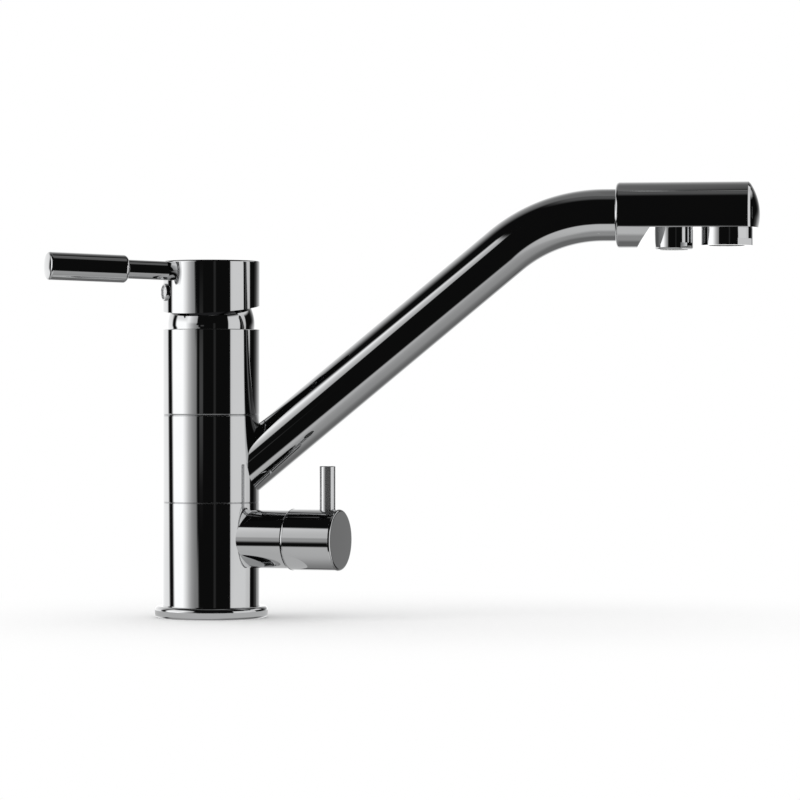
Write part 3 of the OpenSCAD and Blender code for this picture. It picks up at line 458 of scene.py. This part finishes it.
class TAP_OT_beads(bpy.types.Operator):
    """Turns the filter knob's rounded ends: a ring next to the branch and a disc over the knob's face"""

    bl_idname = "tap.beads"
    bl_label = "Knob beads"

    def execute(self, context):
        sizes = context.scene.tap_sizes
        low, high = size("filter_knob")
        _, y, z = JOINTS["filter_turn"]["pos_m"]
        outer = (high[1] - low[1]) / 2 + sizes.bead_rise
        inner = outer - sizes.bead - 2.0 * sizes.bead_rise
        front, back = -sizes.bead_rise, sizes.bead
        crease = sizes.bead_rise / 3
        corners = [(inner, front), (outer, front), (outer, back), (inner, back)]
        ring = rounded(corners, [crease, sizes.bead, crease, crease])
        fit(revolved("knob_bead_inner", ring, (low[0], y, z), (1.0, 0.0, 0.0)), "filter_handle", "chrome")
        corners = [(0.0, front), (outer, front), (outer, back), (0.0, back)]
        face = rounded(corners, [0.0, sizes.bead, crease, 0.0], closed=False)
        fit(revolved("knob_bead_outer", face, (high[0], y, z), (-1.0, 0.0, 0.0), closed=False),
            "filter_handle", "chrome")
        return {"FINISHED"}


class TAP_OT_index(bpy.types.Operator):
    """Turns the index plug: a ring, and a button whose height falls with the square of the radius"""

    bl_idname = "tap.index"
    bl_label = "Index plug"

    def execute(self, context):
        sizes = context.scene.tap_sizes
        origin, lever = cap_wall(sizes.index_height)
        inner = sizes.index - sizes.bezel
        back, front = -sizes.index_depth, sizes.bezel
        corners = [(inner, back), (sizes.index, back), (sizes.index, front), (inner, front)]
        ring = rounded(corners, [CREASE, CREASE, sizes.bezel_edge, sizes.bezel_edge])
        fit(revolved("index_bezel", ring, origin, lever, sides=96), "handle", "chrome")
        corners = [(0.0, back), (inner, back), (inner, 0.0)]
        low, low_normal = rounded(corners, [0.0, sizes.edge, 0.0], closed=False)
        out = np.linspace(1.0, 0.0, num=9)
        foot, crown = 0.5 * sizes.edge, sizes.edge
        dome = np.stack([inner * out, foot + crown * (1.0 - out ** 2)], -1)
        dome_normal = unit(np.stack([2.0 * crown * out / inner, np.ones_like(out)], -1))
        button = np.concatenate([low, dome]), np.concatenate([low_normal, dome_normal])
        fit(revolved("index_button", button, origin, lever, closed=False, sides=96),
            "handle", "index_plastic", "index_plug")
        return {"FINISHED"}


class TAP_OT_threads(bpy.types.Operator):
    """Cuts the threads below: sleeves whose inner radius swings once per pitch and once per turn"""

    bl_idname = "tap.threads"
    bl_label = "Threads"

    def execute(self, context):
        sizes = context.scene.tap_sizes
        for name in ("deck_stud", "hot_inlet", "cold_inlet", "filter_inlet"):
            fit(self.sleeve(f"{name}_thread", MOUNTS[name], sizes), "body", "chromed_body")
        return {"FINISHED"}

    def sleeve(self, name, mount, sizes, sides=64, rows_per_turn=12):
        """Closed sleeve in a bore: its ridge is depth * (1 - cos(2 pi (height / pitch - turn))) / 2."""
        radius = mount["dims"]["r_mm"] * MM - SEAM
        depth = mount["dims"]["length_mm"] * MM - sizes.thread_pitch
        height = np.linspace(CREASE, depth, int(depth / sizes.thread_pitch) * rows_per_turn)
        turn = np.linspace(0.0, 1.0, sides, endpoint=False)
        swing = 2.0 * np.pi * (height[:, None] / sizes.thread_pitch - turn)
        fade = np.clip(np.minimum(height, depth - height) / sizes.thread_pitch, 0.0, 1.0)[:, None]
        ridge = sizes.thread_depth * fade * (1.0 - np.cos(swing)) / 2
        slope = sizes.thread_depth * fade * np.pi / sizes.thread_pitch * np.sin(swing)
        spoke = np.stack([np.cos(2.0 * np.pi * turn), np.sin(2.0 * np.pi * turn), np.zeros(sides)], -1)
        inner = (radius - sizes.thread_wall - ridge)[..., None] * spoke + height[:, None, None] * UP
        inner_normals = unit(-spoke - slope[..., None] * UP)
        ends = height[[0, -1]]
        outer = radius * spoke + ends[:, None, None] * UP
        outer_normals = np.broadcast_to(spoke, outer.shape)
        points = np.concatenate([outer, inner[::-1]]) + np.array(mount["pos_m"])
        normals = np.concatenate([outer_normals, inner_normals[::-1]])
        return surface(name, points, normals, closed_rows=True)


# Finishes


def new_tree(owner):
    """The emptied node tree of a material or world."""
    owner.use_nodes = True
    owner.node_tree.nodes.clear()
    return owner.node_tree


def compute(tree, operation, first, second):
    """Result of a calculation with two values, each a socket or a number."""
    node = tree.nodes.new("ShaderNodeMath")
    node.operation = operation
    for socket, value in zip(node.inputs, (first, second)):
        if isinstance(value, bpy.types.NodeSocket):
            tree.links.new(value, socket)
        else:
            socket.default_value = value
    return node.outputs["Value"]


def noise(tree, scale, detail=3.0):
    """Noise on Object coordinates, in cycles per metre."""
    coordinates = tree.nodes.new("ShaderNodeTexCoord")
    texture = tree.nodes.new("ShaderNodeTexNoise")
    texture.inputs["Scale"].default_value = scale
    texture.inputs["Detail"].default_value = detail
    tree.links.new(coordinates.outputs["Object"], texture.inputs["Vector"])
    return texture.outputs["Fac"]


def between(tree, value, low, high):
    """Maps a noise to low..high."""
    spread = tree.nodes.new("ShaderNodeMapRange")
    spread.inputs["From Min"].default_value = NOISE_LOW
    spread.inputs["From Max"].default_value = NOISE_HIGH
    spread.inputs["To Min"].default_value = low
    spread.inputs["To Max"].default_value = high
    tree.links.new(value, spread.inputs["Value"])
    return spread.outputs["Result"]


def shade(tree, value, dark, light):
    """Colour between two tones, driven by a noise."""
    ramp = tree.nodes.new("ShaderNodeValToRGB")
    first, last = ramp.color_ramp.elements
    first.position, first.color = NOISE_LOW, (*dark, 1.0)
    last.position, last.color = NOISE_HIGH, (*light, 1.0)
    tree.links.new(value, ramp.inputs["Fac"])
    return ramp.outputs["Color"]


def bump(tree, shader, value, distance, strength=0.3):
    """Fine relief from a noise."""
    node = tree.nodes.new("ShaderNodeBump")
    node.inputs["Strength"].default_value = strength
    node.inputs["Distance"].default_value = distance
    tree.links.new(value, node.inputs["Height"])
    tree.links.new(node.outputs["Normal"], shader.inputs["Normal"])


def inside_shade_mask(tree, radius, top):
    """Mask for painted shade: 1 where a place is nearer to the tap's axis than a radius and below a height,
    and 0 elsewhere.
    """
    coordinates = tree.nodes.new("ShaderNodeTexCoord")
    axes = tree.nodes.new("ShaderNodeSeparateXYZ")
    tree.links.new(coordinates.outputs["Object"], axes.inputs["Vector"])
    x, y, z = axes.outputs
    square = compute(tree, "ADD", compute(tree, "MULTIPLY", x, x), compute(tree, "MULTIPLY", y, y))
    near = compute(tree, "LESS_THAN", square, radius ** 2)
    return compute(tree, "MULTIPLY", near, compute(tree, "LESS_THAN", z, top))


def paint_inside_shade(material, radius, top, colour):
    """Paints shade inside a chromed cap: a near-black colour takes the chrome's place where the mask is 1.
    """
    tree = material.node_tree
    shader = next(node for node in tree.nodes if node.type == "BSDF_PRINCIPLED")
    mix = tree.nodes.new("ShaderNodeMix")
    mix.data_type = "RGBA"
    plated, painted_shade = [socket for socket in mix.inputs if socket.type == "RGBA"]
    mixed = next(socket for socket in mix.outputs if socket.type == "RGBA")
    # Painted shade: the near-black colour stands in for the shade inside and under the cap
    painted_shade.default_value = (*colour, 1.0)
    tree.links.new(inside_shade_mask(tree, radius, top), mix.inputs["Factor"])
    tree.links.new(shader.inputs["Base Color"].links[0].from_socket, plated)
    tree.links.new(mixed, shader.inputs["Base Color"])
    return material


def finish(name, colour, metal, rough, grain, spread, relief=0.0, relief_grain=6.0, rough_spread=1.25):
    """One finish: colour and roughness that vary with a noise of the given grain, and a finer relief."""
    material = bpy.data.materials.new(name)
    tree = new_tree(material)
    output = tree.nodes.new("ShaderNodeOutputMaterial")
    shader = tree.nodes.new("ShaderNodeBsdfPrincipled")
    tree.links.new(shader.outputs["BSDF"], output.inputs["Surface"])
    shader.inputs["Metallic"].default_value = metal
    value = noise(tree, grain)
    middle = np.array(colour)
    dark = tuple(middle * (1.0 - spread))
    light = tuple(np.minimum(middle * (1.0 + spread), 1.0))
    tree.links.new(shade(tree, value, dark, light), shader.inputs["Base Color"])
    blur = between(tree, value, rough / rough_spread, rough * rough_spread)
    tree.links.new(blur, shader.inputs["Roughness"])
    if relief > 0.0:
        bump(tree, shader, noise(tree, grain * relief_grain), relief)
    material.diffuse_color = (*colour, 1.0)
    return material


class TAP_OT_finishes(bpy.types.Operator):
    """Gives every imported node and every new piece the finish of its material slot, or one of its own"""

    bl_idname = "tap.finishes"
    bl_label = "Finishes"

    def execute(self, context):
        tones = context.scene.tap_finish
        plated = {"grain": 30.0, "spread": 0.02}
        turned = {"metal": 1.0, "grain": 300.0, "relief": 2e-5}
        moulded = {"metal": 0.0, "grain": 400.0}
        made = {
            "chrome": finish("polished_chrome", tones.chrome, metal=1.0, rough=tones.gloss, **plated),
            "chromed_body": finish(
                "chromed_casting", tones.chrome, metal=1.0, rough=tones.cast_gloss, grain=40.0, spread=0.02),
            "pin": finish(
                "brushed_pin", tones.chrome, metal=tones.pin_metal, rough=tones.pin_gloss, **plated),
            "brass": finish("turned_brass", tones.brass, rough=0.28, spread=0.1, **turned),
            "steel": finish("bright_steel", tones.steel, rough=0.24, spread=0.08, **turned),
            "rubber": finish(
                "moulded_rubber", tones.rubber, metal=0.0, rough=0.62, grain=500.0, spread=0.25,
                relief=3e-5),
            "slip_plastic": finish(
                "plated_slip_ring", tones.slip, metal=0.95, rough=0.14, grain=200.0, spread=0.06),
            "ceramic": finish(
                "lapped_ceramic", tones.ceramic, metal=0.0, rough=0.16, grain=200.0, spread=0.05),
            "white_plastic": finish(
                "white_moulding", tones.white, rough=0.38, spread=0.05, relief=2e-5, **moulded),
            "grey_plastic": finish(
                "grey_moulding", tones.grey, rough=0.42, spread=0.1, relief=2e-5, **moulded),
            "index_plastic": finish("index_moulding", tones.index, rough=0.18, spread=0.06, **moulded),
        }
        for part in frame["record"]["subparts"]:
            self.paint(frame["nodes"][part["node"]], made[part["material_slot"]])
        for piece, look in PIECES:
            self.paint(piece, made[look])
        # Painted shade: the cap's inside takes the seals' near-black tone, in place of the shade that falls
        # inside and under it
        reach, _, top = size("handle_cap")[1] - CREASE
        cap = finish("chromed_cap_with_painted_shade", tones.chrome, metal=1.0, rough=tones.gloss, **plated)
        self.paint(frame["nodes"]["handle_cap"], paint_inside_shade(cap, reach, top, tones.rubber))
        return {"FINISHED"}

    def paint(self, piece, material):
        """Leaves a piece with one material."""
        piece.data.materials.clear()
        piece.data.materials.append(material)


# Light tent: turns run from the camera to its right and rises from the horizon, in degrees


def step(value, edge, soft):
    """Smooth rise from 0 to 1 across an edge, over twice the softness."""
    t = np.clip((value - edge + soft) / (2.0 * soft), 0.0, 1.0)
    return t * t * (3.0 - 2.0 * t)


def panel(turn, rise, left, right, low, high, soft):
    """1 inside a panel, given by its turns and rises, and 0 outside."""
    across = step(turn, left, soft) - step(turn, right, soft)
    return across * (step(rise, low, soft) - step(rise, high, soft))


def back_wall(turn, rise, gap):
    """The wall behind the tap: it fades upwards, and towards the dark gap on the left and the far right."""
    level = np.interp(
        rise, [-34, -26, 0, 15, 28, 40, 50, 60, 90], [0.0, 0.8, 1.25, 1.1, 0.85, 0.5, 0.31, 0.23, 0.2])
    left = step(-turn, edge=GAP_HALF - gap, soft=np.interp(rise, [10, 35], [4, 22]))
    shift = 14.0 * step(rise, edge=5.0, soft=4.0)
    right = np.interp(turn - shift, [120, 130, 140, 152, 165], [0.0, 0.06, 0.28, 0.55, 1.0])
    return level * np.where(turn < 0.0, left, right)


def soft_box(turn, rise, gap):
    """The soft box on the left: it dims to its right, and its foot, top and right edge aren't straight."""
    level = np.interp(turn, [-69, -60, -52, -44, -37, -33], [1.68, 1.2, 0.75, 0.48, 0.34, 0.3])
    change = 0.28
    level += change * step(rise, edge=8.0, soft=3.0) * step(turn, edge=-62.0, soft=4.0)
    level *= 1.0 - change * step(rise, edge=12.0, soft=4.0) * step(-turn, edge=66.0, soft=4.0)
    right = np.interp(rise, [-2.8, -1.2, 2.8, 3.8, 5, 9], [27.7, 32.3, 32.3, 37.5, 37.5, 35])
    right_soft = 2.2 - step(rise, edge=3.3, soft=0.5)
    foot = np.interp(turn, [-60, -48], [-11, -6.5])
    top = np.interp(turn, [-52, -42, -35], [42.5, 37.4, 33.0])
    across = step(turn, edge=gap + GAP_HALF, soft=4.0) * step(-turn, edge=right, soft=right_soft)
    return level * across * (step(rise, edge=foot, soft=5.0) - step(rise, edge=top, soft=2.0))


def side_panels(turn, rise):
    """The tall panel on the right, and a lower, wider one above its far edge."""
    level = np.interp(turn, [48, 56, 88, 96], [0.88, 0.97, 0.97, 0.85])
    across = step(turn, edge=48.5, soft=1.0) - step(turn, edge=106.0, soft=1.5)
    tall = level * across * (step(rise, edge=-31.0, soft=5.0) - step(rise, edge=24.0, soft=2.5))
    wide = 0.95 * panel(turn, rise, left=85.0, right=137.0, low=20.0, high=35.5, soft=2.5)
    return np.maximum(tall, wide)


def ground(turn, rise):
    """The ground below the horizon: lightest in front, and even straight below the tap."""
    level = np.interp(
        turn, [-180, -160, -130, -100, -60, -10, 10, 30, 42, 60, 90, 115, 130, 180],
        [0.22, 0.32, 0.42, 0.5, 0.63, 0.74, 0.73, 0.66, 0.5, 0.44, 0.4, 0.26, 0.2, 0.2])
    straight_below = 0.41
    level = straight_below + (level - straight_below) * step(rise, edge=-74.0, soft=9.0)
    horizon = np.interp(
        turn, [-70, -64, -44, -38, -5, 10, 130, 150], [-38, -23, -23, -40, -40, -36.5, -36, -30])
    return level * step(-rise, edge=-horizon, soft=2.5)


def roof(turn, rise):
    """The dim roof, which leaves out the back, and a lighter part of it on the right."""
    front = step(rise, edge=74.0, soft=6.0) * step(-np.abs(turn), edge=-120.0, soft=20.0)
    right = panel(turn, rise, left=62.0, right=125.0, low=58.0, high=95.0, soft=4.0)
    return 0.12 * front + 0.15 * right


def streaks(turn, rise):
    """Two faint streaks on the camera's dark side."""
    upright = panel(turn, rise, left=8.0, right=13.0, low=-8.0, high=8.0, soft=1.5)
    flat = panel(turn, rise, left=-25.5, right=-17.0, low=0.3, high=3.0, soft=1.2)
    return 0.025 * upright + 0.085 * flat


def tent_level(turn, rise):
    """Brightness of the light tent: the sum of its parts and a dark level.

    The dark gap between the soft box and the back wall leans with the rise.
    """
    dark = 0.006
    gap = -109.5 - 1.3 * np.clip(rise, -7.0, 3.0)
    lit = back_wall(turn, rise, gap) + soft_box(turn, rise, gap) + side_panels(turn, rise)
    return dark + lit + ground(turn, rise) + roof(turn, rise) + streaks(turn, rise)


# Studio


def seen_rays(tree):
    """1 for what the camera sees, straight, mirrored or through something clear, and 0 for other light."""
    path = tree.nodes.new("ShaderNodeLightPath")
    seen = compute(tree, "MAXIMUM", path.outputs["Is Camera Ray"], path.outputs["Is Glossy Ray"])
    return compute(tree, "MAXIMUM", seen, path.outputs["Is Transmission Ray"])


def disc(name, radius, centre, steps=33, sides=128):
    """Disc on the worktop as a function of radius and turn, and each vertex's part of the radius."""
    part = np.linspace(1.0, 0.0, steps)
    turn = np.linspace(0.0, 2.0 * np.pi, sides, endpoint=False)
    spoke = np.stack([np.cos(turn), np.sin(turn), np.zeros(sides)], -1)
    points = np.array([centre.x, centre.y, 0.0]) + radius * part[:, None, None] * spoke
    mesh = surface(name, points, np.broadcast_to(UP, points.shape))
    return mesh, np.append(np.repeat(part[:-1], sides), 0.0)


def mark(mesh, name, values):
    """Keeps one value per vertex under a name."""
    attribute = mesh.attributes.new(name, "FLOAT", "POINT")
    attribute.data.foreach_set("value", values.astype(np.float32))


def marked(tree, name):
    """The values kept under a name."""
    node = tree.nodes.new("ShaderNodeAttribute")
    node.attribute_name = name
    return node.outputs["Fac"]


def put_mirrored(mesh):
    """Adds a part of the studio that shows in reflections only and glows as its vertices' level says."""
    material = bpy.data.materials.new(mesh.name)
    tree = new_tree(material)
    output = tree.nodes.new("ShaderNodeOutputMaterial")
    glow = tree.nodes.new("ShaderNodeEmission")
    tree.links.new(marked(tree, "level"), glow.inputs["Strength"])
    tree.links.new(glow.outputs["Emission"], output.inputs["Surface"])
    mesh.materials.append(material)
    piece = put(mesh.name, mesh)
    piece.visible_camera = False
    piece.visible_diffuse = False
    piece.visible_shadow = False
    piece.visible_volume_scatter = False


class TAP_OT_stage(bpy.types.Operator):
    """Pale floor, light tent, lamp, white surroundings and the camera"""

    bl_idname = "tap.stage"
    bl_label = "Stage"

    def execute(self, context):
        studio = context.scene.tap_studio
        self.floor(studio)
        self.foot_ring(studio)
        self.tent(studio)
        self.surroundings(context, studio)
        self.lamp(context, studio)
        self.camera(context, studio)
        context.scene.view_settings.view_transform = "Standard"
        return {"FINISHED"}

    def floor(self, studio):
        """Round floor, matt near the tap and white towards its rim."""
        mesh, part = disc("pale_floor", studio.floor, (CAD_BOX[0] + CAD_BOX[1]) / 2)
        mark(mesh, "rim", step(part, studio.floor_fade, studio.floor_soft))
        material = bpy.data.materials.new("pale_floor")
        tree = new_tree(material)
        output = tree.nodes.new("ShaderNodeOutputMaterial")
        mix = tree.nodes.new("ShaderNodeMixShader")
        matt = tree.nodes.new("ShaderNodeBsdfDiffuse")
        matt.inputs["Color"].default_value = (*studio.floor_tone, 1.0)
        glow = tree.nodes.new("ShaderNodeEmission")
        white = compute(tree, "MULTIPLY", marked(tree, "rim"), seen_rays(tree))
        tree.links.new(white, mix.inputs["Fac"])
        tree.links.new(matt.outputs["BSDF"], mix.inputs[1])
        tree.links.new(glow.outputs["Emission"], mix.inputs[2])
        tree.links.new(mix.outputs["Shader"], output.inputs["Surface"])
        mesh.materials.append(material)
        floor = put("pale_floor", mesh)
        floor.visible_glossy = False

    def foot_ring(self, studio):
        """White wedge round the flange, for reflections only: a triangle carried round the tap's axis."""
        rim = size("base_flange")[1][0]
        corners = [(rim + CREASE, 0.0), (studio.ring, 0.0), (studio.ring, studio.ring_height)]
        mesh = revolved("foot_ring", rounded(corners, SEAM), studio.ring_lift * UP)
        mark(mesh, "level", np.full(len(mesh.vertices), studio.ring_level))
        put_mirrored(mesh)

    def tent(self, studio):
        """Light tent: a sphere with a vertex for each degree, which glows as tent_level says."""
        turn = np.linspace(-180.0, 180.0, 360, endpoint=False)
        rise = np.linspace(-89.5, 89.5, 180)
        rise, turn = np.meshgrid(rise, turn, indexing="ij")
        away = np.radians(math.degrees(studio.camera_turn) - 90.0 + turn)
        up = np.radians(rise)
        facing = np.stack([np.cos(up) * np.cos(away), np.cos(up) * np.sin(away), np.sin(up)], -1)
        mesh = surface("light_tent", studio.tent * facing, facing)
        mark(mesh, "level", tent_level(turn, rise).ravel())
        put_mirrored(mesh)

    def surroundings(self, context, studio):
        """White for what the camera, the metal and clear pieces see, and soft even light for the rest."""
        world = bpy.data.worlds.new("white_surroundings")
        context.scene.world = world
        tree = new_tree(world)
        output = tree.nodes.new("ShaderNodeOutputWorld")
        back = tree.nodes.new("ShaderNodeBackground")
        level = tree.nodes.new("ShaderNodeMapRange")
        level.inputs["To Min"].default_value = studio.surroundings
        level.inputs["To Max"].default_value = 1.0
        tree.links.new(seen_rays(tree), level.inputs["Value"])
        tree.links.new(level.outputs["Result"], back.inputs["Strength"])
        back.inputs["Color"].default_value = (1.0, 1.0, 1.0, 1.0)
        tree.links.new(back.outputs["Background"], output.inputs["Surface"])

    def lamp(self, context, studio):
        """A large soft lamp on the upper left of the camera."""
        data = bpy.data.lights.new("soft_lamp", "AREA")
        data.shape = "DISK"
        data.size = studio.lamp_width
        data.energy = studio.lamp
        lamp = bpy.data.objects.new("soft_lamp", data)
        context.scene.collection.objects.link(lamp)
        lamp.location = studio.lamp_place
        lamp.rotation_mode = "QUATERNION"
        lamp.rotation_quaternion = (Vector(studio.lamp_aim) - lamp.location).to_track_quat("-Z", "Y")
        lamp.visible_glossy = False

    def camera(self, context, studio):
        """Level camera at the photograph's angle."""
        turn = studio.camera_turn
        away = Vector((math.sin(turn), -math.cos(turn), 0.0))
        side = Vector((math.cos(turn), math.sin(turn), 0.0))
        data = bpy.data.cameras.new("camera")
        data.lens = studio.lens
        data.sensor_width = 36.0
        data.clip_start = 0.05
        data.clip_end = 50.0
        camera = bpy.data.objects.new("camera", data)
        context.scene.collection.objects.link(camera)
        camera.location = away * studio.camera_distance + side * studio.camera_side
        camera.location.z = studio.camera_height
        camera.rotation_mode = "QUATERNION"
        camera.rotation_quaternion = (-away).to_track_quat("-Z", "Y")
        context.scene.camera = camera


# Panel and run


class TAP_PT_panel(bpy.types.Panel):
    """Lists the settings and the steps that dress the tap"""

    bl_idname = "TAP_PT_panel"
    bl_label = "Drinking Water Filter Tap"
    bl_space_type = "VIEW_3D"
    bl_region_type = "UI"
    bl_category = "Tap"

    def draw(self, context):
        for settings in (context.scene.tap_sizes, context.scene.tap_finish, context.scene.tap_studio):
            for key in settings.bl_rna.properties.keys():
                if key not in {"rna_type", "name"}:
                    self.layout.prop(settings, key)
        for operator in OPERATORS:
            self.layout.operator(operator.bl_idname)


OPERATORS = (
    TAP_OT_flange, TAP_OT_sleeve, TAP_OT_tube, TAP_OT_grip, TAP_OT_pin, TAP_OT_beads, TAP_OT_index,
    TAP_OT_threads, TAP_OT_finishes, TAP_OT_stage)
CLASSES = (TapSizes, TapFinish, TapStudio, *OPERATORS, TAP_PT_panel)


def register():
    for item in CLASSES:
        bpy.utils.register_class(item)
    bpy.types.Scene.tap_sizes = bpy.props.PointerProperty(type=TapSizes)
    bpy.types.Scene.tap_finish = bpy.props.PointerProperty(type=TapFinish)
    bpy.types.Scene.tap_studio = bpy.props.PointerProperty(type=TapStudio)


def unregister():
    del bpy.types.Scene.tap_studio
    del bpy.types.Scene.tap_finish
    del bpy.types.Scene.tap_sizes
    for item in reversed(CLASSES):
        bpy.utils.unregister_class(item)


def main():
    """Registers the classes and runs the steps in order."""
    register()
    for operator in OPERATORS:
        group, name = operator.bl_idname.split(".")
        getattr(getattr(bpy.ops, group), name)()


if __name__ == "__main__":
    main()
